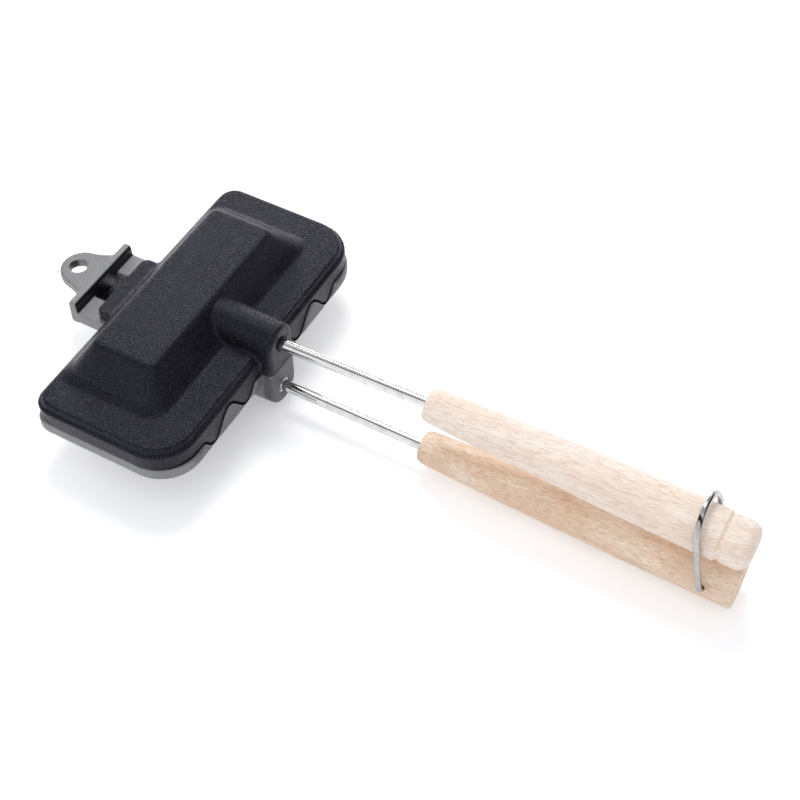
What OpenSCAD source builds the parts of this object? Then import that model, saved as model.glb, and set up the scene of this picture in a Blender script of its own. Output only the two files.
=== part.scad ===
// A two-pan pie iron: a pair of cast pans that close on each other along a wavy rim. They hook
// together on one side, and each is carried by a steel rod with a turned wooden grip. A wire bail
// on the lower grip swings over the upper grip and holds the iron shut.
// Millimetres. The origin is on the table under the middle of the pans, +X runs towards the
// grips and +Z is up. The iron lies closed on the flat of its lower pan.

/* [Pans] */
// Length of the rim, across the grips
pan_len = 148; // [138:1:160]
// Width of the rim, along the grips
pan_wid = 69.4; // [66:0.2:76]
// Depth of one pan, from the parting face to its flat
pan_depth = 25; // [23.5:0.5:27]
// Wall of the casting
wall = 3; // [2.6:0.1:3.2]
// Plan radius of the two rim corners on the grip side
grip_corner = 18; // [14:0.5:20]
// Plan radius of the upper rim's corners on the hook side, at the parting face
hook_corner = 12; // [10:0.5:14]
// Plan radius of the same corners at the edge of the lip
hook_corner_top = 9; // [8:0.5:10]
// Plan radius of the lower rim's corners on the hook side
lower_hook_corner = 7; // [6.5:0.5:9]
// Reach of the lower rim beyond the upper one on the grip side
lower_out = 1; // [0.4:0.1:1.4]
// Height of the upright lip round the upper rim
lip_h = 7.9; // [7.6:0.1:8.8]
// Height of the flat flange inside the upper lip
flange_h = 10.5; // [10.2:0.1:11.5]
// Height of the lower pan's flange, which has no lip round it
lower_flange_h = 7.6; // [7.4:0.1:8.4]
// Inset of the upper flange from the lip
flange_step = 1.8; // [1.4:0.1:2.2]
// Rounding of the upper flange's edge
flange_round = 1.2; // [0.8:0.1:1.4]
// Rounding of the upper lip's edge
lip_round = 0.6; // [0.3:0.1:0.8]
// Rounding of the lower flange's edge
lower_flange_round = 3.4; // [2.5:0.1:3.6]
// Gap between the rims of the closed pans
part_gap = 0.3; // [0.2:0.05:0.4]

/* [Well of each pan] */
// Length of the well's flat, across the grips
well_len = 92.6; // [84:0.2:98]
// Width of the well's flat, along the grips
well_wid = 32.3; // [28:0.1:35]
// Offset of the flat from the middle of the rim, towards the hooks
well_off = 6.75; // [6:0.25:7.5]
// Slope of the well's ends, measured level
well_slope_len = 11.1; // [9:0.1:12.5]
// Slope of the well's sides, measured level
well_slope_wid = 7.85; // [6.5:0.05:8.5]
// Plan radius of the flat's corners
well_corner = 4.5; // [4.4:0.1:9]
// Plan radius of the corners of the well's foot
foot_corner = 8; // [6:0.5:10]
// Rounding of the flat's edge
well_round = 3; // [2:0.25:4.25]
// Height of the fillet round the well's foot
well_fillet = 2; // [1:0.25:2.5]

/* [Wavy rim] */
// Length of one wave
wave_pitch = 24; // [20:0.5:26]
// Height of the wave above its own middle
wave_amp = 5.3; // [4:0.1:5.6]
// Fall of the wave's middle below the parting face
wave_drop = 0.7; // [0.3:0.1:1.2]
// Distance of the wave's crest from the middle of the rim
wave_at = 32.4; // [30:0.2:34]
// Upright gap between the two wavy edges
wave_gap = 0.6; // [0.4:0.05:0.9]

/* [Bosses] */
// Width of a boss
boss_wid = 17.6; // [16.6:0.2:18.2]
// Width of the ridge behind it, where it meets the well
ridge_wid = 19.6; // [18.4:0.2:20.4]
// Reach of a boss beyond the rim
boss_out = 5.3; // [4:0.1:7]
// Rounding of the boss's front edges
boss_round = 1.6; // [0.8:0.1:2.2]
// Fillet between the ridge and the flange
ridge_fillet = 1.8; // [1:0.1:2.4]
// Height of the rods above and below the parting face
rod_z = 13.2; // [12.8:0.1:13.8]
// Diameter of the countersink round the rod
sink_d = 7.8; // [7:0.1:8.6]

/* [Rods] */
// Diameter of a rod
rod_d = 5; // [4.6:0.1:5.4]
// Clearance round a rod, on the radius
rod_fit = 0.05; // [0.03:0.01:0.08]
// Length of a rod inside its boss
rod_boss_len = 20; // [14:0.5:21]
// Length of a rod inside its grip
rod_grip_len = 90; // [50:1:110]
// Bare length of the lower rod
lower_free = 67.4; // [55:0.1:85]
// Bare length of the upper rod, up to its bend
upper_free = 67.2; // [55:0.1:85]
// Rise of the upper rod, in degrees
rod_rise = 1.8; // [0:0.1:2.4]
// Bend of the upper rod at the grip, in degrees
rod_bend = 3.3; // [1:0.1:4]
// Radius of that bend
bend_r = 38; // [25:1:60]

/* [Grips] */
// Length of each grip
grip_len = 139; // [130:0.2:160]
// Diameter of a grip at the rod
grip_thin_d = 14.2; // [13.6:0.2:18]
// Diameter of a grip at its far end
grip_thick_d = 21; // [19:0.2:22]
// How soon a grip swells: 1 is a straight taper
grip_swell = 1.8; // [1:0.1:2.2]
// Diameter of the flat round the rod, at the mouth of a grip
grip_mouth_d = 11.8; // [11:0.2:13.4]
// Length of the rounding behind it
grip_nose = 4.5; // [3:0.25:7]
// Rounding of the lower grip's far end
grip_tail = 0.9; // [0.5:0.1:2]
// Length of the knob that ends the upper grip
knob_len = 10.8; // [9:0.2:16]
// Diameter of the knob
knob_d = 20; // [18.4:0.2:20.8]
// Rounding of the knob
knob_round = 5; // [3:0.25:6]
// Width of the groove in front of the knob
groove_wid = 2.6; // [1.5:0.1:4]
// Depth of that groove
groove_deep = 0.8; // [0.4:0.1:1.4]

/* [Bail] */
// Diameter of the wire
wire_d = 2.6; // [2.2:0.1:2.8]
// Distance of the bail's pivot from the lower grip's far end
pivot_back = 12.5; // [11:0.1:25]
// Height of that pivot above the middle of the lower grip
pivot_up = 2; // [0:0.1:3]
// Distance between the middles of the bail's legs
bail_wid = 24.2; // [24:0.2:28]
// Height of the bail from its pivot to the middle of its arch
bail_h = 38.7; // [38:0.1:52]
// Lean of the closed bail towards the pans, in degrees
bail_lean = 11.2; // [0:0.1:12]
// Length of each inturned end, from the middle of its leg
hook_in = 7; // [5:0.25:8]
// Radius of the wire's bends
wire_bend = 2; // [1.6:0.1:2.6]
// Clearance round the wire in the grip, on the radius
wire_fit = 0.35; // [0.25:0.05:0.5]

/* [Hook hinge] */
// Width of the bracket
bracket_wid = 41; // [38:0.5:46]
// Width of the window between the bracket's arms
window_wid = 16.2; // [14:0.2:18]
// Distance of the bracket's bar from the rim
bar_out = 16.3; // [16.2:0.1:18]
// Thickness of the bar
bar_t = 4; // [3.4:0.1:5]
// Height of the bar above the parting face
bar_up = 8.5; // [7:0.1:8.6]
// Rounding of the bar's upper edges
bar_round = 1.6; // [0.8:0.1:1.6]
// Depth of the bar below the parting face
bar_down = 3.5; // [3.2:0.1:3.6]
// Height of the arms above the parting face
arm_up = 2.7; // [2.2:0.1:2.8]
// Depth of the arms below the parting face
arm_down = 3; // [2.6:0.1:3.2]
// Clearance of the upper pan's tongue over the arms and under the bar
hook_fit = 0.3; // [0.25:0.05:0.35]
// Thickness of the tongue
tongue_t = 4.2; // [3.6:0.1:4.3]
// Width of the tongue
tongue_wid = 37; // [32:0.5:39]
// Reach of the tongue from the rim
tongue_out = 7.6; // [6.8:0.1:7.7]
// Plan radius of the tongue's corners
tongue_corner = 3.5; // [2:0.25:5]
// Width of the hook
hook_wid = 10.6; // [9:0.2:12]
// Reach of the hook's back from the rim
hook_out = 10.8; // [10.4:0.1:10.9]
// Thickness of the hook
hook_t = 2.9; // [2.4:0.1:3.1]
// How far the hook's tip catches under the bar
hook_catch = 1.8; // [1:0.1:2.2]
// Rounding of the hook's back, where it leaves the tongue
hook_back_r = 2; // [1:0.25:2.5]
// Rounding of the hook's heel
hook_heel_r = 2.8; // [2:0.1:3]
// Rounding of the hook's tip
tip_r = 0.9; // [0.6:0.1:1.2]

/* [Hanging eye] */
// Distance of the eye's end from the bar
eye_len = 17.3; // [15:0.1:20]
// Radius of the eye's nose
eye_nose = 9.6; // [8.5:0.1:11]
// Width of the eye where it meets the bar
eye_root = 27; // [24:0.5:30]
// Hollow radius of the eye's flanks
eye_flank = 25; // [18:1:40]
// Diameter of the hole
eye_hole = 7.6; // [6:0.1:9]
// Distance of the hole from the eye's end
eye_hole_back = 7.6; // [7:0.1:9]
// Height of the eye's face above the parting face
eye_up = 7; // [6:0.1:7.2]
// Thickness of the eye
eye_t = 4.4; // [3:0.1:5]

/* [Set screws] */
// Diameter of a set screw
screw_d = 4; // [3:0.5:5]
// Length of a set screw
screw_len = 6; // [5:0.5:8]
// Distance of the screws from the face of the boss
screw_back = 4.2; // [3.6:0.1:5]
// Distance between the flats of the screw's hexagon socket
socket_af = 2; // [1.5:0.5:2.5]
// Depth of the socket
socket_deep = 2; // [1:0.25:3]

/* [Hidden] */

cast_grey = [0.66, 0.66, 0.68];
cast_black = [0.24, 0.24, 0.27];
steel = [0.82, 0.82, 0.84];
beech = [0.93, 0.84, 0.7];
dark_steel = [0.3, 0.3, 0.32];

// Fine steps for turned parts, and coarser ones for the rounded corners of the castings
turned_fn = 96;
cast_fn = 32;
// Steps of a whole turn of a rod's bend
bend_fn = 384;
// Points along a rounded corner, and along one wave
round_steps = 4;
wave_steps = 24;
// How far a rod's bend runs into its straight lengths, in degrees
bend_lap = 1;
// How far a piece is sunk into the casting that it is part of, and how far a cut runs past it
sunk = 1.5;
past = 1;
// Height of the discs that a sloping wall starts from and ends in
thin = 0.1;
// How far the fillet round the well reaches out, against its height
foot_reach = 0.6;
// Rounding of the hollow's edges inside a pan
inner_round = 0.8;

rim_x = pan_wid / 2;
boss_x = rim_x + boss_out;
boss_r = boss_wid / 2;
ridge_r = ridge_wid / 2;
rim_low = part_gap / 2;
// Plans of the rims: the corner radius on the hook side, and the reach on the grip side
upper_plan = [hook_corner, 0];
upper_plan_top = [hook_corner_top, 0];
lower_plan = [lower_hook_corner, lower_out];
well_x0 = -well_off - well_wid / 2;
well_x1 = -well_off + well_wid / 2;
well_y = well_len / 2;
well_slope = [well_slope_wid, well_slope_len];

bar_x = -rim_x - bar_out;
tongue_low = arm_up + hook_fit;
tongue_top = tongue_low + tongue_t;
hook_x = -rim_x - hook_out;
tip_top = -bar_down - hook_fit;

lower_grip_x = boss_x + lower_free;
pivot_x = lower_grip_x + grip_len - pivot_back;
wire_r = wire_d / 2;
pivot_z = pan_depth - rod_z + pivot_up;
arch_r = bail_wid / 2;

// ---- Outlines

function unit(v) = v / norm(v);

// The points of one rounded corner, between its two neighbours; a radius of 0 keeps it sharp
function corner(before, at, after, r) =
    r == 0 ? [at] :
    let (
        a = unit(before - at),
        b = unit(after - at),
        half = acos(a * b) / 2,
        centre = at + unit(a + b) * r / sin(half),
        turn = 90 - half,
        inward = unit(at - centre),
        side = sign(cross(b, a))
    )
    [for (i = [0 : round_steps])
        let (w = side * turn * (2 * i / round_steps - 1))
        centre + r * [inward.x * cos(w) - inward.y * sin(w), inward.x * sin(w) + inward.y * cos(w)]];

// An outline whose corners are [x, y, radius]
function rounded(corners) =
    let (n = len(corners))
    [for (i = [0 : n - 1])
        let (p = corners[(i + n - 1) % n], q = corners[i], s = corners[(i + 1) % n])
        each corner([p.x, p.y], [q.x, q.y], [s.x, s.y], q.z)];

// The wavy edge of the rim, as a height over the distance from the middle of the rim
wave_half = wave_pitch * (360 - acos(wave_drop / wave_amp)) / 360;
function wave(y) = wave_amp * cos(360 * (y - wave_at) / wave_pitch) - wave_drop;

// Stands an outline drawn in X and Z upright, and spreads it evenly over a width in Y
module across(width) {
    rotate([90, 0, 0])
        linear_extrude(height = width, center = true)
            children();
}

// Draws its children at both ends of the rim
module both_ends() {
    children();
    mirror([0, 1, 0]) children();
}

// ---- Shell of a pan, with the parting face at z = 0 and the flat above it

// A corner of the casting: a disc whose upper edge is rounded
module puck(r, z0, z1, edge) {
    profile = rounded([[0, z0, 0], [r, z0, 0], [r, z1, edge], [0, z1, 0]]);
    rotate_extrude($fn = cast_fn) polygon(profile);
}

// The four corners of a block on the plan of a rim, drawn in by an inset
module rim_corners(plan, inset, z0, z1, edge) {
    hook_r = plan[0];
    for (side = [-1, 1]) {
        translate([rim_x + plan[1] - grip_corner, side * (pan_len / 2 - grip_corner), 0])
            puck(grip_corner - inset, z0, z1, edge);
        translate([hook_r - rim_x, side * (pan_len / 2 - hook_r), 0])
            puck(hook_r - inset, z0, z1, edge);
    }
}

module rim_block(plan, inset, z0, z1, edge) {
    hull() rim_corners(plan, inset, z0, z1, edge);
}

// The well from the height z0 up to the height top, over a flange at the height flange; out moves
// its sloping sides outwards
module well_block(z0, top, flange, out, edge) {
    slope = well_slope * (top - z0) / (pan_depth - flange);
    foot_r = foot_corner + out;
    top_r = well_corner + out;
    hull()
        for (x = [well_x0, well_x1], y = [-well_y, well_y]) {
            at = [x - sign(x - (well_x0 + well_x1) / 2) * well_corner, y - sign(y) * well_corner];
            spread = [sign(x - (well_x0 + well_x1) / 2) * slope.x, sign(y) * slope.y];
            translate([at.x, at.y, 0]) puck(top_r, top - edge - thin, top, edge);
            reach = spread - [sign(spread.x), sign(spread.y)] * (foot_r - top_r);
            translate([at.x + reach.x, at.y + reach.y, 0]) puck(foot_r, z0, z0 + thin, 0);
        }
}

// The fillet where the well meets the flange
module well_foot(flange) {
    level = well_slope * well_fillet / (pan_depth - flange);
    low = foot_corner - well_fillet * foot_reach;
    hull()
        for (x = [-1, 1], y = [-1, 1]) {
            foot = [(x < 0 ? well_x0 : well_x1) + x * well_slope.x, y * (well_y + well_slope.y)];
            translate([foot.x - x * low, foot.y - y * low, 0])
                puck(foot_corner, flange - sunk, flange + thin, 0);
            translate([foot.x - x * (foot_corner + level.x), foot.y - y * (foot_corner + level.y), 0])
                puck(foot_corner, flange, flange + well_fillet, 0);
        }
}

// The rim goes from the plan low at the parting face to the plan top at the edge of its lip. The
// flange rises inside the lip, or is the lip's own top where it is no higher.
module pan_outside(low, top, lip, edge, flange) {
    hull() {
        rim_corners(low, 0, rim_low, rim_low + thin, 0);
        rim_corners(top, 0, lip - edge - thin, lip, edge);
    }
    if (flange > lip)
        rim_block(top, flange_step, lip - edge - thin, flange, flange_round);
    well_block(flange - sunk, pan_depth, flange, 0, well_round);
    well_foot(flange);
}

module pan_inside(low, flange) {
    rim_block(low, wall, -past, flange - wall, inner_round);
    well_block(flange - wall - past, pan_depth - wall, flange, -wall, inner_round);
}

// The boss that takes the rod, and the ridge that runs from it over the flange to the well
module boss(flange) {
    front = rounded([
        [well_x1, 0, 0],
        [boss_x, 0, 0],
        [boss_x, boss_r, boss_round],
        [well_x1, ridge_r, 0]
    ]);
    translate([0, 0, rod_z])
        rotate([0, 90, 0])
            rotate([0, 0, 90])
                rotate_extrude(angle = 180, $fn = turned_fn)
                    polygon([for (p = front) [p.y, p.x]]);
    translate([0, 0, rim_low])
        linear_extrude(height = rod_z - rim_low)
            both_ends() polygon(front);
    both_ends() ridge_foot(flange);
}

// The hollow fillet along one side of the ridge
module ridge_foot(flange) {
    steps = [for (i = [0 : round_steps]) 90 * i / round_steps];
    hollow = [for (w = steps) [ridge_fillet * (1 - sin(w)), flange + ridge_fillet * (1 - cos(w))]];
    taper = atan2(ridge_r - boss_r, boss_x - well_x1);
    translate([well_x1, ridge_r, 0])
        rotate([0, 0, -taper])
            rotate([90, 0, 90])
                linear_extrude(height = rim_x - flange_step - flange_round - well_x1)
                    polygon(concat(
                        [[-sunk, flange - sunk], [ridge_fillet, flange - sunk]],
                        hollow,
                        [[-sunk, flange + ridge_fillet]]
                    ));
}

module rod_bore(rise) {
    translate([boss_x, 0, rod_z])
        rotate([0, 90 - rise, 0]) {
            translate([0, 0, -rod_boss_len - past])
                cylinder(h = rod_boss_len + 2 * past, r = rod_d / 2 + rod_fit, $fn = turned_fn);
            sink = (sink_d - rod_d) / 2;
            translate([0, 0, -sink])
                cylinder(h = sink + past, r1 = rod_d / 2, r2 = sink_d / 2 + past, $fn = turned_fn);
        }
}

module screw_bore() {
    translate([boss_x - screw_back, 0, -past])
        cylinder(h = rod_z + past, r = screw_d / 2 + rod_fit, $fn = turned_fn);
}

// One pan without its rim's waves and its half of the hinge
module pan(rise, low, top, lip, edge, flange) {
    difference() {
        union() {
            pan_outside(low, top, lip, edge, flange);
            boss(flange);
        }
        pan_inside(low, flange);
        rod_bore(rise);
        screw_bore();
    }
}

// The stretch of the grip side's wall that is wavy, between two heights
module wave_wall(plan, low, high) {
    translate([rim_x + plan[1] - wall, wave_at - wave_half, low])
        cube([wall, 2 * wave_half, high - low]);
}

// What lies above the wavy edge (up = 1) or below it (up = -1), half a gap away from it
module beyond_wave(up) {
    ends = [wave_at - wave_half, wave_at + wave_half];
    steps = [for (i = [0 : 2 * wave_steps]) ends[0] + (ends[1] - ends[0]) * i / (2 * wave_steps)];
    edge = [for (y = steps) [y, wave(y) - up * wave_gap / 2]];
    far = up * (wave_amp + wave_drop + 2 * past);
    translate([rim_x - wall - past, 0, 0])
        rotate([90, 0, 90])
            linear_extrude(height = wall + lower_out + 2 * past)
                polygon(concat(
                    [[ends[0] - past, far], [ends[0] - past, 0], [ends[0], 0]],
                    edge,
                    [[ends[1], 0], [ends[1] + past, 0], [ends[1] + past, far]]
                ));
}

// ---- Upper pan and its half of the hinge

// The tongue lies over the bracket's arms, and the hook goes down between them and under the bar
module tongue() {
    translate([0, 0, tongue_low])
        linear_extrude(height = tongue_t)
            polygon(rounded([
                [sunk - rim_x, -tongue_wid / 2, 0],
                [sunk - rim_x, tongue_wid / 2, 0],
                [-rim_x - tongue_out, tongue_wid / 2, tongue_corner],
                [-rim_x - tongue_out, -tongue_wid / 2, tongue_corner]
            ]));
}

module hook() {
    across(hook_wid)
        polygon(rounded([
            [sunk - rim_x, tongue_low, 0],
            [sunk - rim_x, tongue_top, 0],
            [hook_x, tongue_top, hook_back_r],
            [hook_x, tip_top, tip_r],
            [bar_x - hook_catch, tip_top, tip_r],
            [bar_x - hook_catch, tip_top - hook_t, tip_r],
            [hook_x + hook_t, tip_top - hook_t, hook_heel_r],
            [hook_x + hook_t, tongue_low, 0]
        ]));
}

module upper_plate() {
    color(cast_black)
        translate([0, 0, pan_depth]) {
            difference() {
                union() {
                    pan(rod_rise, upper_plan, upper_plan_top, lip_h, lip_round, flange_h);
                    both_ends() wave_wall(upper_plan, -wave_amp - wave_drop - past, past);
                }
                both_ends() beyond_wave(-1);
            }
            tongue();
            hook();
        }
}

// ---- Lower pan, its bracket and the eye to hang it by

module bracket() {
    arm_wid = (bracket_wid - window_wid) / 2;
    groove = 2 * part_gap;
    both_ends()
        translate([0, (window_wid + arm_wid) / 2, 0])
            across(arm_wid)
                polygon([
                    [sunk - rim_x, -arm_down],
                    [sunk - rim_x, -groove],
                    [-rim_x - groove, -groove],
                    [-rim_x - groove, arm_up],
                    [bar_x - sunk, arm_up],
                    [bar_x - sunk, -arm_down]
                ]);
    across(bracket_wid)
        polygon(rounded([
            [bar_x, -bar_down, tip_r],
            [bar_x, bar_up, bar_round],
            [bar_x - bar_t, bar_up, bar_round],
            [bar_x - bar_t, -bar_down, tip_r]
        ]));
}

// Half of the eye's outline: a round nose that runs out into a hollow flank
function eye_half() =
    let (
        nose = [bar_x - bar_t - eye_len + eye_nose, 0],
        root = [bar_x - bar_t, eye_root / 2],
        far = norm(root - nose),
        bow = eye_nose + eye_flank,
        open = acos((bow * bow + far * far - eye_flank * eye_flank) / (2 * bow * far)),
        meet = atan2(root.y - nose.y, root.x - nose.x) + open,
        centre = nose + bow * [cos(meet), sin(meet)],
        last = atan2(root.y - centre.y, root.x - centre.x),
        first = meet - 180,
        steps = 3 * round_steps
    )
    concat(
        [for (i = [0 : steps])
            let (w = 180 + (meet - 180) * i / steps)
            nose + eye_nose * [cos(w), sin(w)]],
        [for (i = [1 : steps])
            let (w = first + (last - first) * i / steps)
            centre + eye_flank * [cos(w), sin(w)]]
    );

module eye() {
    half = eye_half();
    root = half[len(half) - 1];
    difference() {
        translate([0, 0, eye_up - eye_t])
            linear_extrude(height = eye_t)
                polygon(concat(
                    half,
                    [[root.x + sunk, root.y], [root.x + sunk, -root.y]],
                    [for (i = [len(half) - 1 : -1 : 1]) [half[i].x, -half[i].y]]
                ));
        translate([bar_x - bar_t - eye_len + eye_hole_back, 0, eye_up - eye_t - past])
            cylinder(h = eye_t + 2 * past, r = eye_hole / 2, $fn = turned_fn);
    }
}

module lower_plate() {
    color(cast_grey)
        translate([0, 0, pan_depth]) {
            difference() {
                union() {
                    mirror([0, 0, 1])
                        pan(0, lower_plan, lower_plan, lower_flange_h, lower_flange_round, lower_flange_h);
                    both_ends() wave_wall(lower_plan, -past, wave_amp - wave_drop + past);
                }
                both_ends() beyond_wave(1);
            }
            bracket();
            eye();
        }
}

// ---- Rods and grips

// Moves its children from the boss's rod hole out to the mouth of the grip
module at_mouth(free, rise, bend) {
    translate([boss_x, 0, 0])
        rotate([0, -rise, 0])
            translate([free + bend_r * sin(bend), 0, -bend_r * (1 - cos(bend))])
                rotate([0, bend, 0])
                    children();
}

// A rod: a straight length in the boss and the open, a bend, and a straight length in the grip.
// The bend is a hair thinner and runs a little way into both, so that their faces cross cleanly.
module rod(free, rise, bend) {
    translate([boss_x, 0, 0])
        rotate([0, -rise, 0]) {
            translate([-rod_boss_len, 0, 0])
                rotate([0, 90, 0])
                    cylinder(h = rod_boss_len + free, r = rod_d / 2, $fn = turned_fn);
            if (bend > 0)
                translate([free, 0, -bend_r])
                    rotate([-90, -90, 0])
                        rotate([0, 0, -bend_lap])
                            rotate_extrude(angle = bend + 2 * bend_lap, $fn = bend_fn)
                                translate([bend_r, 0])
                                    circle(r = (rod_d - rod_fit) / 2, $fn = turned_fn);
        }
    at_mouth(free, rise, bend)
        rotate([0, 90, 0])
            cylinder(h = rod_grip_len, r = rod_d / 2, $fn = turned_fn);
}

// The radius of a grip at a distance from its mouth
function grip_r(s) =
    (grip_thick_d - (grip_thick_d - grip_thin_d) * pow(1 - s / grip_len, grip_swell)) / 2;

// The outline of a turned grip as [distance, radius], from its rounded nose up to a distance
function grip_side(upto) =
    let (
        steps = 3 * round_steps,
        mouth_r = grip_mouth_d / 2,
        nose = [for (i = [0 : round_steps])
            let (w = 90 * i / round_steps)
            [grip_nose * (1 - cos(w)), mouth_r + (grip_r(grip_nose) - mouth_r) * sin(w)]],
        side = [for (i = [1 : steps])
            let (s = grip_nose + (upto - grip_nose) * i / steps)
            [s, grip_r(s)]]
    )
    concat(nose, side);

// The rounded tail of a turned grip, or of its knob
function grip_end(r, round) =
    [for (i = [0 : round_steps])
        let (w = 90 * i / round_steps)
        [grip_len - round * (1 - sin(w)), r - round * (1 - cos(w))]];

module turned(outline) {
    tail = outline[len(outline) - 1].x;
    rotate([0, 90, 0])
        rotate_extrude($fn = turned_fn)
            polygon(concat([[0, outline[0].x]], [for (p = outline) [p.y, p.x]], [[0, tail]]));
}

module grip_bore() {
    translate([-past, 0, 0])
        rotate([0, 90, 0])
            cylinder(h = past + rod_grip_len + rod_fit, r = rod_d / 2 + rod_fit, $fn = turned_fn);
}

// The hole across the lower grip for the ends of the bail
module pivot_bore() {
    translate([grip_len - pivot_back, 0, pivot_up])
        rotate([90, 0, 0])
            cylinder(h = 2 * grip_thick_d, r = wire_r + wire_fit, center = true, $fn = turned_fn);
}

module lower_grip() {
    color(beech)
        translate([lower_grip_x, 0, pan_depth - rod_z])
            difference() {
                turned(concat(
                    grip_side(grip_len - 2 * grip_tail),
                    grip_end(grip_thick_d / 2, grip_tail)
                ));
                grip_bore();
                pivot_bore();
            }
}

module upper_grip() {
    body = grip_len - knob_len - groove_wid;
    color(beech)
        translate([0, 0, pan_depth + rod_z])
            at_mouth(upper_free, rod_rise, rod_bend)
                difference() {
                    turned(concat(
                        grip_side(body),
                        [[body + groove_wid / 2, knob_d / 2 - groove_deep]],
                        [[body + groove_wid, knob_d / 2]],
                        grip_end(knob_d / 2, knob_round)
                    ));
                    grip_bore();
                }
}

module lower_rod() {
    color(steel)
        translate([0, 0, pan_depth - rod_z])
            rod(lower_free, 0, 0);
}

module upper_rod() {
    color(steel)
        translate([0, 0, pan_depth + rod_z])
            rod(upper_free, rod_rise, rod_bend);
}

// ---- Bail

module wire(length) {
    cylinder(h = length, r = wire_r, $fn = turned_fn / 2);
}

// A bend of the wire, in the plane of Y and Z, from start to start + turn degrees
module wire_turn(r, start, turn) {
    rotate([90, 0, 90])
        rotate([0, 0, start])
            rotate_extrude(angle = turn, $fn = turned_fn)
                translate([r, 0]) circle(r = wire_r, $fn = turned_fn / 2);
}

// The bail stands on its pivot: two legs, an arch over them and an inturned end on each leg
module wire_bail() {
    color(steel)
        translate([pivot_x, 0, pivot_z])
            rotate([0, -bail_lean, 0]) {
                translate([0, 0, bail_h - arch_r])
                    wire_turn(arch_r, 0, 180);
                both_ends() {
                    translate([0, arch_r, wire_bend])
                        wire(bail_h - arch_r - wire_bend);
                    translate([0, arch_r - wire_bend, wire_bend])
                        wire_turn(wire_bend, -90, 90);
                    translate([0, arch_r - wire_bend, 0])
                        rotate([90, 0, 0])
                            wire(hook_in - wire_bend);
                }
            }
}

// ---- Set screws

// A set screw that bears on its rod, with its socket towards the parting face
module set_screw(tip) {
    translate([boss_x - screw_back, 0, tip - screw_len])
        difference() {
            cylinder(h = screw_len, r = screw_d / 2, $fn = turned_fn);
            translate([0, 0, -past])
                cylinder(h = socket_deep + past, r = socket_af / 2 / cos(30), $fn = 6);
        }
}

module lower_set_screw() {
    color(dark_steel)
        translate([0, 0, pan_depth])
            mirror([0, 0, 1])
                set_screw(rod_z - rod_d / 2 - rod_fit);
}

module upper_set_screw() {
    color(dark_steel)
        translate([0, 0, pan_depth])
            set_screw(rod_z - screw_back * tan(rod_rise) - rod_d / 2 / cos(rod_rise) - 2 * rod_fit);
}

lower_plate();
upper_plate();
lower_rod();
upper_rod();
lower_grip();
upper_grip();
wire_bail();
lower_set_screw();
upper_set_screw();
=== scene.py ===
# %% [markdown]
# # Dressing a pie iron
# A pie iron is two cast pans that close on each other, each at the end of a steel rod with a
# wooden grip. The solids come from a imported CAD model. This lesson loads them, gives each
# visible piece its finish, and models anew what a plain solid can't show.

# %% Load the frame
import math
import bpy
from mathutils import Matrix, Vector


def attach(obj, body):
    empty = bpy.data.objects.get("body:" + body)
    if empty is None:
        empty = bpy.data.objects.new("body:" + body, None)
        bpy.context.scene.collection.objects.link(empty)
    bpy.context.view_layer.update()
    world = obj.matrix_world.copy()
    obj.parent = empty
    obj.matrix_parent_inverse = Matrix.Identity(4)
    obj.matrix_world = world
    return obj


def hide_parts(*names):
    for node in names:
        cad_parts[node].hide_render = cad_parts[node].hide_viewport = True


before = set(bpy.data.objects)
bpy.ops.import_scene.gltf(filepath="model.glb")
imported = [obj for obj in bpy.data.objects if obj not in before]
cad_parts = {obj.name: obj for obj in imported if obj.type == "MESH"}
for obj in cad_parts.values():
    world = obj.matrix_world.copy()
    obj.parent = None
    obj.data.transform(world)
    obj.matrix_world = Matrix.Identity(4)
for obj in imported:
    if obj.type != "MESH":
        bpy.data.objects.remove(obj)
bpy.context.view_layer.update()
MM = 0.001

# %% [markdown]
# The camera stands to the front right of the iron and looks down on it with a long lens. Its
# place and its lens were worked out from the straight edges of the iron, so that the render
# can be laid over the photograph.

# %% The camera
CAMERA_AT = Vector((0.28951, -0.34734, 0.52051))
CAMERA_AIM = Vector((0.09233, 0.00707, 0.025))
LENS_PIXELS = 1552.78
FRAME_PIXELS = 800

camera_data = bpy.data.cameras.new("camera")
camera_data.sensor_width = 36
camera_data.lens = LENS_PIXELS * camera_data.sensor_width / FRAME_PIXELS
camera_data.clip_start = 0.01
camera_data.clip_end = 20
camera = bpy.data.objects.new("camera", camera_data)
bpy.context.scene.collection.objects.link(camera)
camera.location = CAMERA_AT
camera.rotation_euler = (CAMERA_AIM - CAMERA_AT).to_track_quat("-Z", "Y").to_euler()
bpy.context.scene.camera = camera
bpy.context.scene.view_settings.view_transform = "Standard"
print("lens", round(camera_data.lens, 2), "mm")

# %% [markdown]
# A finish is a material, and its maths is easier to read as Python than as a web of nodes. So a
# small class wraps one output of a node. Adding or multiplying two of them adds the Math node,
# and either of them may also be a plain number.

# %% A class for values
class Value:
    """One output of a node, with arithmetic."""

    def __init__(self, web, socket):
        self.web = web
        self.socket = socket

    def __add__(self, other):
        return self.web.maths("ADD", self, other)

    def __sub__(self, other):
        return self.web.maths("SUBTRACT", self, other)

    def __mul__(self, other):
        return self.web.maths("MULTIPLY", self, other)

    def __pow__(self, other):
        return self.web.maths("POWER", self, other)

    def __rsub__(self, other):
        return self.web.maths("SUBTRACT", other, self)

    def __abs__(self):
        return self.web.maths("ABSOLUTE", self)

    __radd__ = __add__
    __rmul__ = __mul__


print("values can be added and multiplied")

# %% [markdown]
# Every node comes from one method, `node`, which takes its type, its settings, and what its
# sockets get: a number, a colour or another node's value. The methods after it are the few
# mixtures that come back in every finish, such as a soft step and a blend of two colours.

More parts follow.
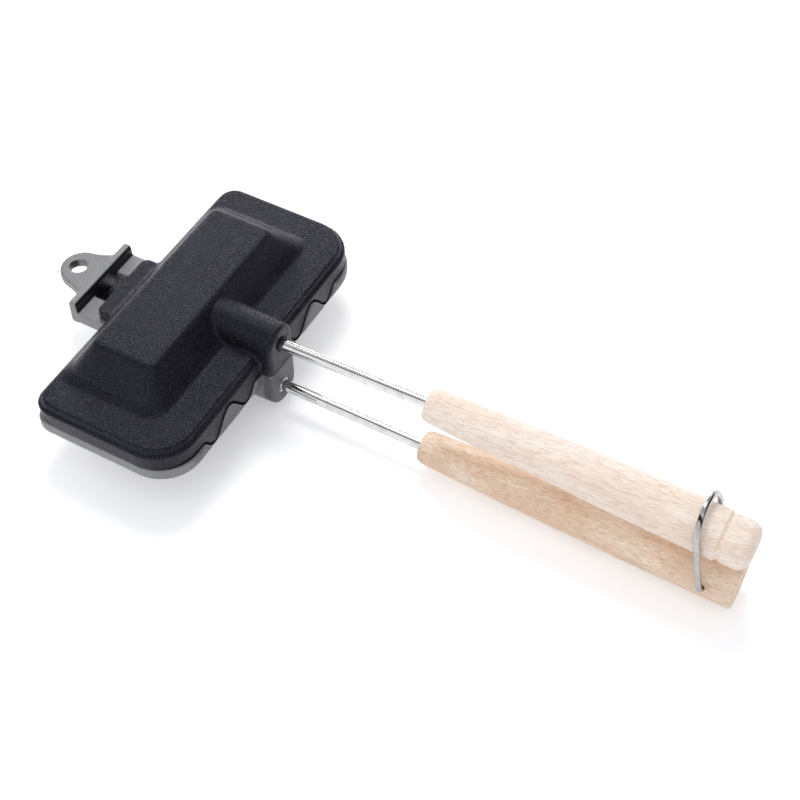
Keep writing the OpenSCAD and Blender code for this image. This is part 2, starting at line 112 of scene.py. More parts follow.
# %% A class for webs of nodes
class Web:
    """The nodes of a material or of the world."""

    def __init__(self, tree):
        self.tree = tree
        tree.nodes.clear()

    def put(self, socket, value):
        if isinstance(value, Value):
            self.tree.links.new(value.socket, socket)
        elif socket.type == "RGBA":
            socket.default_value = (*value, 1)
        else:
            socket.default_value = value

    def node(self, kind, settings=None, inputs=None, out=0):
        made = self.tree.nodes.new("ShaderNode" + kind)
        for name, value in (settings or {}).items():
            setattr(made, name, value)
        for name, value in (inputs or {}).items():
            self.put(made.inputs[name], value)
        return Value(self, made.outputs[out]) if made.outputs else made

    def maths(self, operation, *values):
        return self.node("Math", {"operation": operation}, dict(enumerate(values)))

    def part(self, at, axis):
        return self.node("SeparateXYZ", None, {0: at}, axis)

    def ease(self, value, low, high):
        """0 below low, 1 above high, and smooth between them."""
        settings = {"interpolation_type": "SMOOTHSTEP"}
        inputs = {"Value": value, "From Min": low, "From Max": high}
        return self.node("MapRange", settings, inputs, "Result")

    def blend(self, mask, first, second):
        return self.node("Mix", {"data_type": "RGBA"}, {0: mask, 6: first, 7: second}, 2)

    def sight(self):
        """1 for what the camera sees, straight or through a mirror or glass, and 0 for light."""
        mask = 0.0
        for kind in ("Camera", "Glossy", "Transmission"):
            mask = self.maths("MAXIMUM", mask, self.node("LightPath", out=f"Is {kind} Ray"))
        return mask

    def either(self, mask, first, second):
        """The first shader where the mask is 0, and the second where it is 1."""
        return self.node("MixShader", None, {0: mask, 1: first, 2: second})


node_kinds = [name for name in dir(bpy.types) if name.startswith("ShaderNode")]
print("a web can take", len(node_kinds), "kinds of node")

# %% [markdown]
# A finish adds what all the iron's materials share: a Principled shader, a place on the piece
# in millimetres, noise, scattered points and bump. What is the same all over a surface is set
# on the shader's own sockets, and what changes over it is fed to them.

# %% A class for finishes
class Finish(Web):
    """A material of the iron."""

    def __init__(self, name, **constants):
        self.material = bpy.data.materials.new(name)
        self.material.use_nodes = True
        super().__init__(self.material.node_tree)
        self.surface = self.node("BsdfPrincipled")
        self.output = self.node("OutputMaterial", None, {"Surface": self.surface})
        self.feed(**constants)

    def feed(self, **values):
        sockets = self.surface.socket.node.inputs
        for name, value in values.items():
            self.put(sockets[name.replace("_", " ").title().replace("Ior", "IOR")], value)
        return self.material

    def place(self, density=(1, 1, 1), shift=(0, 0, 0), turn=(0, 0, 0)):
        """Object coordinates in millimetres: shifted, turned, and then scaled along each axis.
        A density below 1 draws the pattern out along that axis."""
        inputs = {"Vector": self.node("TexCoord", out="Object"), "Rotation": turn}
        inputs["Location"] = [v * MM for v in shift]
        inputs["Scale"] = [MM / v for v in density]
        return self.node("Mapping", {"vector_type": "TEXTURE"}, inputs)

    def noise(self, at, scale=1.0, detail=2.0, roughness=0.5):
        inputs = {"Vector": at, "Scale": scale, "Detail": detail, "Roughness": roughness}
        return self.node("TexNoise", None, inputs, "Fac")

    def spots(self, at):
        """Distance from points that are scattered about 1 apart: 0 at a point."""
        return self.node("TexVoronoi", None, {"Vector": at, "Scale": 1.0}, "Distance")

    def bump(self, height, depth):
        """A normal from a height, where a height of 1 stands depth millimetres proud."""
        inputs = {"Height": height, "Distance": depth * MM, "Strength": 1.0}
        return self.node("Bump", None, inputs, "Normal")


print("finishes are ready to be mixed")

# %% [markdown]
# The pans are sand-cast aluminium. Both castings share a recipe: fine grains in the bump, slow
# clouds in the colour and the gloss, and paler convex edges, which Pointiness finds on a dense
# mesh: partly wear, and partly a painted highlight.

# %% What both castings share
GRAINS_PER_MM = 1.5
CLOUDS_PER_MM = 0.045
MOTTLE_FROM, MOTTLE_TO = 0.38, 0.62
EDGE_FROM, EDGE_TO = 0.525, 0.60
EDGE_RAGGED = 0.04
EDGE_WEAR_AND_HIGHLIGHT = 0.6


def casting(name, dark, pale, edge, **constants):
    cast = Finish(name, **constants)
    cast.at = cast.place()
    cast.grains = cast.noise(cast.at, GRAINS_PER_MM, roughness=0.6)
    cast.cloud = cast.noise(cast.at, CLOUDS_PER_MM, detail=3.0)
    pointed = cast.node("NewGeometry", out="Pointiness") + (cast.grains - 0.5) * EDGE_RAGGED
    cast.crest = cast.ease(pointed, EDGE_FROM, EDGE_TO)
    mottle = cast.ease(cast.cloud * 0.5 + cast.grains * 0.5, MOTTLE_FROM, MOTTLE_TO)
    cast.body = cast.blend(mottle, dark, pale)
    # Convex edges are painted paler: partly wear, partly a painted highlight.
    cast.body = cast.blend(cast.crest * EDGE_WEAR_AND_HIGHLIGHT, cast.body, edge)
    return cast


print("castings have grains, clouds and worn edges")

# %% [markdown]
# The upper pan carries a black non-stick coating. The coating itself is nearly black: its grey
# comes from what it mirrors, so the colour is very dark and the gloss does the work. Tiny metal
# flakes in it sparkle, and it mirrors the room a little bluer than it is.

# %% The black coating
COATING = (0.004, 0.004, 0.006)
COATING_PALE = (0.009, 0.009, 0.014)
# Colour of the convex edges: partly wear, partly a painted highlight.
COATING_WEAR_AND_HIGHLIGHT = (0.11, 0.11, 0.13)
COATING_ROUGH = 0.24
COATING_GRAIN = 0.3
MIRROR_TINT = (0.76, 0.74, 1.0)
FLAKE = (0.17, 0.17, 0.21)
FLAKES_PER_MM = 2.8
FLAKE_FROM, FLAKE_TO = 0.58, 0.72
FLAKES_SHOW = 0.4


def coat_black():
    black = casting(
        "black_coated_casting", COATING, COATING_PALE, COATING_WEAR_AND_HIGHLIGHT,
        specular_ior_level=0.22, specular_tint=MIRROR_TINT)
    glitter = black.noise(black.place(shift=(7, 3, 1)), FLAKES_PER_MM, detail=1.0)
    flakes = black.ease(glitter, FLAKE_FROM, FLAKE_TO) * FLAKES_SHOW
    return black.feed(
        base_color=black.blend(flakes, black.body, FLAKE),
        metallic=flakes,
        roughness=COATING_ROUGH + (black.cloud - 0.5) * 0.1 + black.grains * 0.08,
        normal=black.bump(black.grains, COATING_GRAIN),
    )


black_cast = coat_black()
print("coating:", black_cast.name)

# %% [markdown]
# The lower pan is bare grey metal outside. Inside, and on the wavy rim, it carries the same coating
# as the upper one, laid where a face looks up and lies within the rounded outline of the rim; on
# the rim this also paints the dark shade line of the gap under the teeth. The inner face of the
# bar that the upper pan hooks under gets the same black as painted shade. The boss is made
# darker, all but its edges. Round the rod the countersink is cut bare, and shines.

# %% The bare grey metal
BARE = (0.205, 0.205, 0.21)
BARE_PALE = (0.27, 0.27, 0.275)
# Colour of the convex edges: partly wear, partly a painted highlight.
BARE_WEAR_AND_HIGHLIGHT = (0.60, 0.60, 0.61)
BARE_METAL = 0.35
BARE_ROUGH = 0.45
BARE_GRAIN = 0.14
# Darker colour for the boss.
BOSS_DARKER = (0.07, 0.07, 0.075)
BOSS_DARKER_SHOWS = 0.8
CUT_METAL = (0.7, 0.7, 0.71)
CUT_RADIUS = 3.5
CUT_FROM = 36.5
RIM_CORNER = 17.0
RIM_HALF_X = 34.9
RIM_HALF_Y = 73.1
BOSS_FROM = 34.6
BAR_FROM = -36.5
LOWER_ROD_HEIGHT = 11.8
SOFT = 0.3


def cast_grey():
    grey = casting("bare_grey_casting", BARE, BARE_PALE, BARE_WEAR_AND_HIGHLIGHT)
    x, y, z = (grey.part(grey.at, axis) for axis in "XYZ")
    facing = grey.node("TexCoord", out="Normal")
    # The boss is made darker, all but its convex edges.
    tone_change = grey.ease(x, BOSS_FROM, BOSS_FROM + 1.5) * (1 - grey.crest) * BOSS_DARKER_SHOWS
    off_axis = ((z - LOWER_ROD_HEIGHT) ** 2.0 + y * y) ** 0.5
    cut = 1 - grey.ease(off_axis, CUT_RADIUS - SOFT, CUT_RADIUS)
    cut = cut * grey.ease(x, CUT_FROM, CUT_FROM + 1)
    # Coating where a face looks up inside the rim; on the wavy rim it also paints the shade line of
    # the gap under the teeth.
    past_x = grey.maths("MAXIMUM", abs(x) - (RIM_HALF_X - RIM_CORNER), 0)
    past_y = grey.maths("MAXIMUM", abs(y) - (RIM_HALF_Y - RIM_CORNER), 0)
    off_corner = (past_x * past_x + past_y * past_y) ** 0.5
    inside = 1 - grey.ease(off_corner, RIM_CORNER - SOFT, RIM_CORNER)
    inside = inside * grey.ease(grey.part(facing, "Z"), 0.2, 0.35)
    # Painted shade: the inner face of the bar, which lies in shade, gets the coating's black.
    bar = 1 - grey.ease(x, BAR_FROM - 1, BAR_FROM)
    bar = bar * grey.ease(grey.part(facing, "X"), 0.5, 0.8)
    coating_and_shade = grey.maths("MAXIMUM", inside, bar)
    body = grey.blend(tone_change, grey.body, BOSS_DARKER)
    body = grey.blend(cut, body, CUT_METAL)
    rough = BARE_ROUGH + (grey.cloud - 0.5) * 0.1 - grey.crest * 0.08 - cut * 0.2
    return grey.feed(
        base_color=grey.blend(coating_and_shade, body, COATING_PALE),
        metallic=(BARE_METAL + cut * 0.6) * (1 - coating_and_shade),
        roughness=rough - coating_and_shade * 0.1,
        normal=grey.bump(grey.grains, BARE_GRAIN),
    )


grey_cast = cast_grey()
print("bare metal:", grey_cast.name)

# %% [markdown]
# The rods are plated and the wire of the bail is drawn: both are bright metal that mirrors the
# room. What keeps them from looking like a computer's chrome is the fine haze of handling, and
# faint lines along the way that the metal was drawn.

# %% The bright metal finishes
LINES_PER_MM = 4.0
HAZE_PER_MM = 0.25
HAZE_DULLS = 0.85


def bright_finish(name, tint, rough, density, depth):
    """Bright metal, whose fine lines run along the axis that has the lowest density."""
    bright = Finish(name, metallic=1.0)
    lines = bright.noise(bright.place(density), LINES_PER_MM)
    haze = bright.noise(bright.place(), HAZE_PER_MM, detail=4.0)
    dull = tuple(t * HAZE_DULLS for t in tint)
    return bright.feed(
        base_color=bright.blend(bright.ease(haze, 0.45, 0.7), tint, dull),
        roughness=rough + haze * 0.06 + lines * 0.04,
        normal=bright.bump(lines, depth),
    )


rod_chrome = bright_finish(
    "plated_rod", (0.76, 0.76, 0.77), rough=0.02, density=(0.03, 1, 1), depth=0.001)
wire_chrome = bright_finish(
    "drawn_wire", (0.50, 0.49, 0.48), rough=0.06, density=(1, 1, 0.1), depth=0.002)
black_steel = bright_finish(
    "blackened_screw", (0.12, 0.12, 0.13), rough=0.3, density=(1, 1, 1), depth=0.006)
print("bright metals:", rod_chrome.name, wire_chrome.name, black_steel.name)

# %% [markdown]
# Beech is a pale, even wood, faintly pink. Its marks are small: fine streaks and finer threads
# along the grain, and many short dark flecks and pores that lie along it. Streaks and threads
# are noise that is drawn out along the grip. Flecks and pores are scattered points, drawn out
# less, and another noise gathers the flecks in drifts. The grain runs a few degrees off the
# axis, as it does in any turned stick.

# %% The beech finish
STREAKS_SHOW = 0.12
THREADS_SHOW = 0.30
FLECKS_SHOW = 0.32
PORES_SHOW = 0.5
FLECK_CORE, FLECK_EDGE = 0.12, 0.34
PORE_CORE, PORE_EDGE = 0.04, 0.12
BEECH_ROUGH = 0.5
BEECH_DEPTH = 0.05


def beech_finish(name, pale, warm, fleck, shift, turn):
    beech = Finish(name, specular_ior_level=0.3)

    def along(length, width, start):
        density = (1 / length, 1 / width, 1 / width)
        return beech.place(density, (shift + start, start, start), turn)

    tone_change = beech.noise(along(length=30, width=7, start=2))
    streak = beech.noise(along(length=12, width=0.8, start=5))
    thread = beech.noise(along(length=5.5, width=0.38, start=9), detail=0.0)
    gathered = beech.ease(beech.noise(along(length=14, width=3.5, start=4)), 0.40, 0.60)
    from_fleck = beech.spots(along(length=3.4, width=0.62, start=1))
    from_pore = beech.spots(along(length=6.5, width=1.8, start=7))
    flecks = (1 - beech.ease(from_fleck, FLECK_CORE, FLECK_EDGE)) * gathered
    pores = 1 - beech.ease(from_pore, PORE_CORE, PORE_EDGE)
    tone = beech.blend(beech.ease(tone_change, 0.36, 0.62), pale, warm)
    tone = beech.blend(beech.ease(streak, 0.50, 0.66) * STREAKS_SHOW, tone, fleck)
    tone = beech.blend(beech.ease(thread, 0.54, 0.62) * THREADS_SHOW, tone, fleck)
    tone = beech.blend(flecks * FLECKS_SHOW, tone, fleck)
    tone = beech.blend(pores * PORES_SHOW, tone, fleck)
    marks = streak * 0.5 + thread * 0.3 - flecks * 0.5 - pores * 0.5
    return beech.feed(
        base_color=tone,
        roughness=BEECH_ROUGH + tone_change * 0.12,
        normal=beech.bump(marks, BEECH_DEPTH),
    )


pale_beech = beech_finish(
    "pale_beech", pale=(0.98, 0.87, 0.77), warm=(0.94, 0.79, 0.67), fleck=(0.50, 0.31, 0.20),
    shift=0, turn=(0, -0.07, 0.07))
# The lower grip's beech is made darker and warmer than the upper grip's.
warm_beech = beech_finish(
    "warm_beech", pale=(0.92, 0.76, 0.61), warm=(0.84, 0.63, 0.46), fleck=(0.40, 0.21, 0.11),
    shift=60, turn=(0, 0.05, 0.07))
print("woods:", pale_beech.name, warm_beech.name)

# %% [markdown]
# A CAD solid has sharp edges and flat facets, and a casting has neither. The pans' shapes are
# right, so each casting starts as a copy of its solid. Its loose triangles are merged, and a
# voxel remesh gives it an even skin. A little smoothing then rounds every edge by about half a
# millimetre, as sand and a file do, and Decimate takes the spare triangles out again.

# %% Cast skins
SKIN_VOXEL = 0.6 * MM
SKIN_SMOOTH = 4
SKIN_FACES = 190000
MERGE_WITHIN = 0.001 * MM


def select_only(piece):
    bpy.ops.object.select_all(action="DESELECT")
    piece.select_set(True)
    bpy.context.view_layer.objects.active = piece


def apply_modifier(piece, kind, **settings):
    modifier = piece.modifiers.new(kind.lower(), kind)
    for name, value in settings.items():
        setattr(modifier, name, value)
    bpy.ops.object.modifier_apply(modifier=modifier.name)


def cast_skin(node, name, body, finish):
    piece = bpy.data.objects.new(name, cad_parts[node].data.copy())
    bpy.context.scene.collection.objects.link(piece)
    select_only(piece)
    bpy.ops.object.mode_set(mode="EDIT")
    bpy.ops.mesh.select_all(action="SELECT")
    bpy.ops.mesh.remove_doubles(threshold=MERGE_WITHIN)
    bpy.ops.object.mode_set(mode="OBJECT")
    apply_modifier(piece, "REMESH", mode="VOXEL", voxel_size=SKIN_VOXEL, adaptivity=0.0)
    apply_modifier(piece, "SMOOTH", factor=0.5, iterations=SKIN_SMOOTH)
    faces = 2 * len(piece.data.polygons)
    if faces > SKIN_FACES:
        apply_modifier(piece, "DECIMATE", ratio=SKIN_FACES / faces)
    bpy.ops.object.shade_smooth()
    piece.data.materials.clear()
    piece.data.materials.append(finish)
    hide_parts(node)
    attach(piece, body)
    print(name, faces, "triangles before thinning,", len(piece.data.polygons), "faces after")


cast_skin("upper_plate", "upper_pan", "upper_half", black_cast)
cast_skin("lower_plate", "lower_pan", "lower_half", grey_cast)

# %% [markdown]
# Rods, grips and wire are all round, so they are made alike: a ring of points is drawn out by
# Extrude, and round a bend by Spin. At the end, the last ring and the first are closed with a
# face. These helpers do that in edit mode, and dress the finished piece.

# %% Drawing a ring out
def start_ring(name, centre, along, radius, points):
    bpy.ops.object.select_all(action="DESELECT")
    turn = Vector(along).to_track_quat("Z", "Y").to_euler()
    bpy.ops.mesh.primitive_circle_add(vertices=points, radius=radius, location=centre, rotation=turn)
    piece = bpy.context.object
    piece.name = name
    piece.data.name = name
    bpy.ops.object.transform_apply(location=True, rotation=True, scale=True)
    bpy.ops.object.mode_set(mode="EDIT")
    bpy.ops.mesh.select_all(action="SELECT")
    return piece


def draw_out(step):
    bpy.ops.mesh.extrude_region_move(TRANSFORM_OT_translate={"value": tuple(step)})


def spin_ring(centre, axis, turn, steps):
    """Draws the ring round an axis by a right-hand turn; Spin itself turns the other way."""
    bpy.ops.mesh.spin(steps=steps, angle=-math.radians(turn), center=centre, axis=axis)


def close_ends(piece, points):
    """Closes the ring that is selected and the ring that the piece started from."""
    bpy.ops.mesh.edge_face_add()
    bpy.ops.object.mode_set(mode="OBJECT")
    for polygon in piece.data.polygons:
        polygon.select = False
    for edge in piece.data.edges:
        edge.select = max(edge.vertices) < points
    for vertex in piece.data.vertices:
        vertex.select = vertex.index < points
    bpy.ops.object.mode_set(mode="EDIT")
    bpy.ops.mesh.edge_face_add()
    bpy.ops.mesh.select_all(action="SELECT")
    bpy.ops.mesh.remove_doubles(threshold=MERGE_WITHIN)
    bpy.ops.mesh.normals_make_consistent(inside=False)
    bpy.ops.object.mode_set(mode="OBJECT")


def finish_piece(piece, node, body, finish, angle=35):
    select_only(piece)
    bpy.ops.object.shade_smooth_by_angle(angle=math.radians(angle))
    piece.data.materials.clear()
    piece.data.materials.append(finish)
    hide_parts(node)
    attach(piece, body)
    low, high = (Vector(c) / MM for c in (piece.bound_box[0], piece.bound_box[6]))
    print(piece.name, "from", [round(v, 1) for v in low], "to", [round(v, 1) for v in high])


print("a ring can be drawn out, spun and closed")

# %% [markdown]
# Both rods start deep in a boss with a small chamfer, and end deep in a grip. The lower one is
# straight. The upper one rises a little from its boss and bends down again just before its
# grip, so the ring is spun round that bend. The ends inside the wood and the boss are never
# seen, but they make the piece whole.

# %% The rods
BOSS_FRONT = 40.0
ROD_RADIUS = 2.5
ROD_POINTS = 48
ROD_IN_BOSS = 20.0
ROD_IN_GRIP = 90.0
CHAMFER = 0.3
LEFT = Vector((0, 1, 0))


def tilted(angle):
    """A unit vector along +X that rises by an angle in degrees."""
    return Vector((math.cos(math.radians(angle)), 0, math.sin(math.radians(angle))))


def rod(name, node, body, height, free, rise, bend):
    """A rod that leaves its boss at a height, shows its free length, and may rise and bend."""
    radius = ROD_RADIUS * MM
    first = tilted(rise)
    front = Vector((BOSS_FRONT, 0, height)) * MM
    start = front - first * ROD_IN_BOSS * MM
    piece = start_ring(name, start, first, radius - CHAMFER * MM, ROD_POINTS)
    draw_out(first * CHAMFER * MM)
    grow = radius / (radius - CHAMFER * MM)
    bpy.ops.transform.resize(value=(grow,) * 3, center_override=start + first * CHAMFER * MM)
    draw_out(first * (ROD_IN_BOSS + free - CHAMFER) * MM)
    if bend:
        centre = front + first * free * MM + LEFT.cross(first) * BEND_RADIUS * MM
        spin_ring(centre, LEFT, bend, BEND_STEPS)
    draw_out(tilted(rise - bend) * ROD_IN_GRIP * MM)
    close_ends(piece, ROD_POINTS)
    finish_piece(piece, node, body, rod_chrome)


UPPER_ROD_HEIGHT = 38.2
LOWER_FREE = 67.4
UPPER_FREE = 67.2
RISE = 1.8
BEND = 3.3
BEND_RADIUS = 38.0
BEND_STEPS = 6
rod("lower_bright_rod", "lower_rod", "lower_half", LOWER_ROD_HEIGHT, LOWER_FREE, 0, 0)
rod("upper_bright_rod", "upper_rod", "upper_half", UPPER_ROD_HEIGHT, UPPER_FREE, RISE, BEND)

# %% [markdown]
# The grips come off a lathe, so all that they are is in their outline: a radius for each place
# along the axis. Both are rounded at the mouth and swell towards the far end. The lower one ends
# with a small rounding, the upper one with a knob behind a groove.

# %% The outline of the grips
GRIP_LEN = 139.0
THIN = 7.1
THICK = 10.5
SWELL = 1.8
MOUTH = 5.9
NOSE = 4.5
TAIL = 0.9
KNOB_LEN = 10.8
KNOB_RADIUS = 10.0
KNOB_ROUND = 5.0
KNOB_EDGE = 0.15
GROOVE_WIDTH = 2.6
GROOVE_DEPTH = 0.7
GROOVE_FLAT = 0.4


def grip_radius(s):
    return THICK - (THICK - THIN) * (1 - s / GRIP_LEN) ** SWELL


def quarter(steps):
    return [math.radians(90 * i / steps) for i in range(steps + 1)]


def nose_profile():
    full = grip_radius(NOSE)
    return [(NOSE * (1 - math.cos(w)), MOUTH + (full - MOUTH) * math.sin(w)) for w in quarter(10)]


def side_profile(end, steps=24):
    stations = [NOSE + (end - NOSE) * i / steps for i in range(1, steps + 1)]
    return [(s, grip_radius(s)) for s in stations]


def tail_profile(radius, rounding, steps=8):
    return [(GRIP_LEN - rounding * (1 - math.sin(w)), radius - rounding * (1 - math.cos(w)))
            for w in quarter(steps)]


groove_start = GRIP_LEN - KNOB_LEN - GROOVE_WIDTH
groove_middle = groove_start + GROOVE_WIDTH / 2
groove = [
    (groove_middle - GROOVE_FLAT / 2, KNOB_RADIUS - GROOVE_DEPTH),
    (groove_middle + GROOVE_FLAT / 2, KNOB_RADIUS - GROOVE_DEPTH),
    (groove_start + GROOVE_WIDTH - GROOVE_FLAT / 2, KNOB_RADIUS - KNOB_EDGE),
    (groove_start + GROOVE_WIDTH, KNOB_RADIUS),
]
lower_profile = nose_profile() + side_profile(GRIP_LEN - 2 * TAIL) + tail_profile(THICK, TAIL)
upper_profile = nose_profile() + side_profile(groove_start) + groove
upper_profile += tail_profile(KNOB_RADIUS, KNOB_ROUND)
print("outlines of", len(lower_profile), "and", len(upper_profile), "places")

# %% [markdown]
# A ring is drawn along the axis place by place, and each new ring is scaled to the radius that
# the outline has there. It starts at the bottom of the hole that the rod goes into, comes out
# over the hole's small chamfer, and goes on round the outside. Each grip is turned at the
# origin, along X, and set on its rod later.

# %% Turning the grips
BORE = 2.55
BORE_DEPTH = 9.0
BORE_CHAMFER = 0.4
GRIP_POINTS = 96


def turn_grip(name, profile):
    """Turns a grip along X from its bore outwards, and closes both ends."""
    stations = [(BORE_DEPTH, BORE), (BORE_CHAMFER, BORE), (0.0, BORE + BORE_CHAMFER)] + profile
    piece = start_ring(name, (BORE_DEPTH * MM, 0, 0), (1, 0, 0), BORE * MM, GRIP_POINTS)
    for (s0, r0), (s1, r1) in zip(stations, stations[1:]):
        draw_out(((s1 - s0) * MM, 0, 0))
        bpy.ops.transform.resize(value=(1, r1 / r0, r1 / r0), center_override=(s1 * MM, 0, 0))
    close_ends(piece, GRIP_POINTS)
    return piece


lower_grip = turn_grip("lower_turned_grip", lower_profile)
upper_grip = turn_grip("upper_turned_grip", upper_profile)
print("turned", len(lower_grip.data.vertices), "and", len(upper_grip.data.vertices), "points")

# %% [markdown]
# The lower grip has a hole across it for the ends of the wire. A cylinder is the drill: a Boolean
# takes its shape out of the grip, and the drill itself is thrown away.

# %% Drill the lower grip
PIVOT_BACK = 12.5
PIVOT_UP = 2.0
WIRE_HOLE = 1.65
DRILL_POINTS = 48


def drill(piece, at, radius):
    bpy.ops.object.select_all(action="DESELECT")
    bpy.ops.mesh.primitive_cylinder_add(
        vertices=DRILL_POINTS, radius=radius, depth=4 * THICK * MM, location=at,
        rotation=(math.radians(90), 0, 0))
    bit = bpy.context.object
    select_only(piece)
    apply_modifier(piece, "BOOLEAN", operation="DIFFERENCE", solver="EXACT", object=bit)
    bpy.data.objects.remove(bit)


drill(lower_grip, ((GRIP_LEN - PIVOT_BACK) * MM, 0, PIVOT_UP * MM), WIRE_HOLE * MM)
print("drilled, now", len(lower_grip.data.vertices), "points")

# %% [markdown]
# Each grip goes where its rod enters it. For the upper one that place lies past the bend, so it
# is worked out from the bend's radius and angle. Moving and turning are applied at once, so that
# the place of the grip is in its mesh.

# %% Set both grips on their rods
GRIP_SMOOTH_ANGLE = 25


def set_on_rod(piece, mouth, drop):
    piece.location = mouth
    piece.rotation_euler = (0, math.radians(drop), 0)
    select_only(piece)
    bpy.ops.object.transform_apply(location=True, rotation=True, scale=True)


lower_mouth = Vector((BOSS_FRONT + LOWER_FREE, 0, LOWER_ROD_HEIGHT)) * MM
bend_run = BEND_RADIUS * math.sin(math.radians(BEND))
bend_drop = BEND_RADIUS * (1 - math.cos(math.radians(BEND)))
upper_front = Vector((BOSS_FRONT, 0, UPPER_ROD_HEIGHT))
upper_way = tilted(RISE) * (UPPER_FREE + bend_run) + LEFT.cross(tilted(RISE)) * bend_drop
upper_mouth = (upper_front + upper_way) * MM
set_on_rod(lower_grip, lower_mouth, 0)
set_on_rod(upper_grip, upper_mouth, BEND - RISE)
finish_piece(lower_grip, "lower_grip", "lower_half", warm_beech, GRIP_SMOOTH_ANGLE)
finish_piece(upper_grip, "upper_grip", "upper_half", pale_beech, GRIP_SMOOTH_ANGLE)

# %% [markdown]
# The bail is one length of wire: in through the grip, up one side, over the top and back down.
# It is drawn like the rods, and every bend is a Spin. It leans towards the pans, so its own
# upward direction is worked out first and the wire is drawn in that plane.

# %% Bending the bail
WIRE_RADIUS = 1.3
WIRE_POINTS = 32
BAIL_HALF = 12.1
BAIL_HEIGHT = 38.7
BAIL_LEAN = 11.2
HOOK_IN = 7.0
WIRE_BEND = 2.0
WIRE_BEND_STEPS = 8
ARCH_STEPS = 32

pivot = lower_mouth + Vector((GRIP_LEN - PIVOT_BACK, 0, PIVOT_UP)) * MM
bail_up = Vector((-math.sin(math.radians(BAIL_LEAN)), 0, math.cos(math.radians(BAIL_LEAN))))
bail_axis = LEFT.cross(bail_up)


def bail_point(side, up):
    return pivot + LEFT * side * MM + bail_up * up * MM


wire_bail = start_ring(
    "bright_wire_bail", bail_point(BAIL_HALF - HOOK_IN, 0), LEFT, WIRE_RADIUS * MM, WIRE_POINTS)
draw_out(LEFT * (HOOK_IN - WIRE_BEND) * MM)
spin_ring(bail_point(BAIL_HALF - WIRE_BEND, WIRE_BEND), bail_axis, 90, WIRE_BEND_STEPS)
draw_out(bail_up * (BAIL_HEIGHT - BAIL_HALF - WIRE_BEND) * MM)
spin_ring(bail_point(0, BAIL_HEIGHT - BAIL_HALF), bail_axis, 180, ARCH_STEPS)
draw_out(-bail_up * (BAIL_HEIGHT - BAIL_HALF - WIRE_BEND) * MM)
spin_ring(bail_point(WIRE_BEND - BAIL_HALF, WIRE_BEND), bail_axis, 90, WIRE_BEND_STEPS)
draw_out(LEFT * (HOOK_IN - WIRE_BEND) * MM)
close_ends(wire_bail, WIRE_POINTS)
finish_piece(wire_bail, "wire_bail", "bail", wire_chrome)

# %% [markdown]
# The set screws lie deep in the castings, and show only their sockets when the iron is opened.
# Their solids are right as they are and get a blackened finish.

# %% The set screws
for screw in ("lower_set_screw", "upper_set_screw"):
    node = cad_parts[screw]
    node.data.materials.clear()
    node.data.materials.append(black_steel)
    print(screw, "keeps its solid")

# %% [markdown]
# The photograph was taken in a tent of white cloth, and the camera looks in through a slit: the
# slit is the thin dark line on the bright rods, and the greyer band above it is the roof. On the
# right the tent is open, and the sides that face it are dark. To the eye the cloth is plain
# white, and bright metal mirrors it with its slit, its roof and its opening. The light that the
# cloth sheds on the iron is stronger in front.

# %% The tent
CLOTH_COLOUR = (0.96, 0.97, 1.0)
CLOTH_BACK = 0.68
CLOTH_FRONT = 1.05
CLOTH_RIGHT_DIM = 0.25
SLIT_ANGLE = math.radians(28)
SLIT_HALF = 0.15
SLIT_DIM = 0.97
ROOF_DIM = 0.4
OPENING = Vector((0.79, 0.55, 0.26)).normalized()
OPENING_FROM, OPENING_TO = 0.72, 0.92
OPENING_DIM = 0.92


def put_up_tent():
    world = bpy.data.worlds.new("white_tent")
    bpy.context.scene.world = world
    world.use_nodes = True
    tent = Web(world.node_tree)
    toward = tent.node("TexCoord", out="Generated")
    back = tent.part(toward, "Y")
    up = tent.part(toward, "Z")
    shed = tent.ease(back, -0.8, 0.8) * (CLOTH_BACK - CLOTH_FRONT) + CLOTH_FRONT
    shed = shed * (1 - tent.ease(tent.part(toward, "X"), -0.3, 0.9) * CLOTH_RIGHT_DIM)
    past_slit = back * math.cos(SLIT_ANGLE) + up * math.sin(SLIT_ANGLE)
    slit = 1 - tent.ease(abs(past_slit), SLIT_HALF * 0.6, SLIT_HALF * 1.4)
    roof = tent.ease(past_slit, SLIT_HALF, 3 * SLIT_HALF) * ROOF_DIM
    inputs = {0: toward, 1: OPENING}
    near_opening = tent.node("VectorMath", {"operation": "DOT_PRODUCT"}, inputs, "Value")
    opening = tent.ease(near_opening, OPENING_FROM, OPENING_TO) * OPENING_DIM
    mirrored = (1 - slit * SLIT_DIM) * (1 - opening) * (1 - roof)
    seen = tent.maths("MAXIMUM", mirrored, tent.node("LightPath", out="Is Camera Ray"))
    lit = tent.node("Background", None, {"Color": CLOTH_COLOUR, "Strength": shed})
    white = tent.node("Background", None, {"Color": (1, 1, 1), "Strength": seen})
    sight = tent.sight()
    tent.node("OutputWorld", None, {"Surface": tent.either(sight, lit, white)})


put_up_tent()
print("tent from", CLOTH_FRONT, "to", CLOTH_BACK)

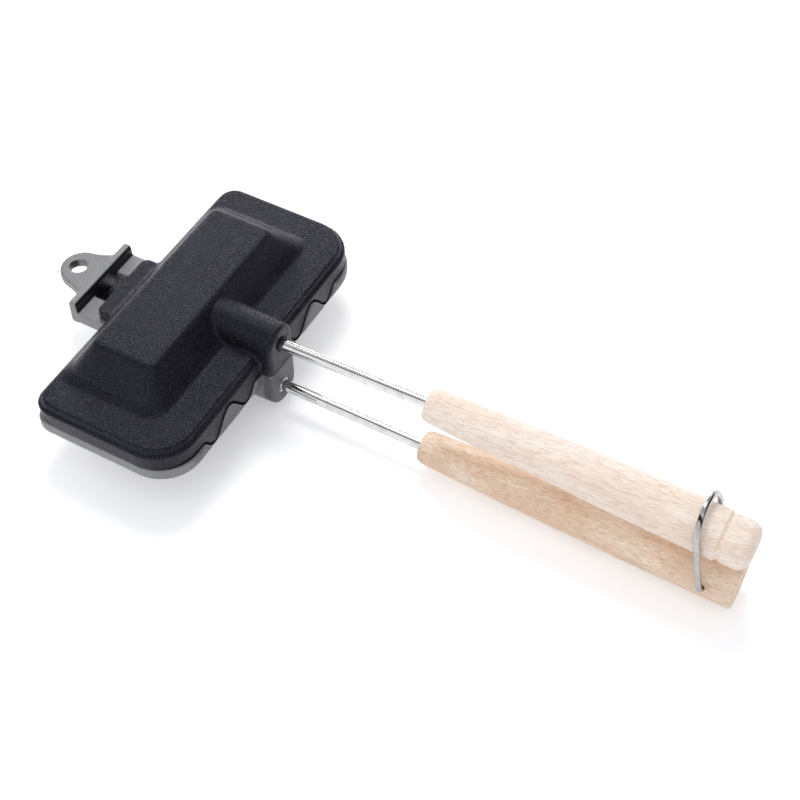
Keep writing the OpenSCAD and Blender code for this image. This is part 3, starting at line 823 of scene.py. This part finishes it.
# %% [markdown]
# One broad lamp stands high at the back on the left: the flat tops of the black pan mirror it,
# and it gives the short soft shadows at the front. A long low lamp behind the iron lights its
# far edges, so that they stand out as bright lines. Places and sizes are in metres.

# %% Lamps
IRON_MIDDLE = Vector((0.09, 0, 0.02))


def put_up_lamp(name, direction, distance, width, height, power):
    lamp_data = bpy.data.lights.new(name, "AREA")
    lamp_data.shape = "RECTANGLE"
    lamp_data.size = width
    lamp_data.size_y = height
    lamp_data.energy = power
    lamp = bpy.data.objects.new(name, lamp_data)
    bpy.context.scene.collection.objects.link(lamp)
    lamp.location = IRON_MIDDLE + Vector(direction).normalized() * distance
    lamp.rotation_euler = (IRON_MIDDLE - lamp.location).to_track_quat("-Z", "Y").to_euler()
    print(name, "gives", power, "watts")


put_up_lamp("broad_lamp", (-0.25, 0.40, 0.88), distance=1.5, width=0.5, height=0.5, power=7)
put_up_lamp("low_lamp", (-0.62, 0.76, 0.14), distance=1.3, width=1.3, height=0.08, power=5)

# %% [markdown]
# The floor is the same white cloth. To the eye and in bright metal it gets a little glow on top
# of its own colour, as an overexposed background has, so that only the deep part of the soft
# shadow still shows on it.

# %% Floor
FLOOR_SIZE = 8
FLOOR_COLOUR = (0.92, 0.92, 0.935)
FLOOR_GLOW = 0.28

bpy.ops.object.select_all(action="DESELECT")
bpy.ops.mesh.primitive_plane_add(size=FLOOR_SIZE, location=(0, 0, 0))
floor = bpy.context.object
floor.name = "floor"
cloth = Finish("white_cloth", base_color=FLOOR_COLOUR, roughness=0.9, specular_ior_level=0.1)
glow = cloth.node("Emission", None, {"Color": (1, 1, 1), "Strength": FLOOR_GLOW})
glowing = cloth.node("AddShader", None, {0: cloth.surface, 1: glow})
cloth.put(cloth.output.inputs["Surface"], cloth.either(cloth.sight(), cloth.surface, glowing))
floor.data.materials.append(cloth.material)
print("floor glows by", FLOOR_GLOW)

# %% [markdown]
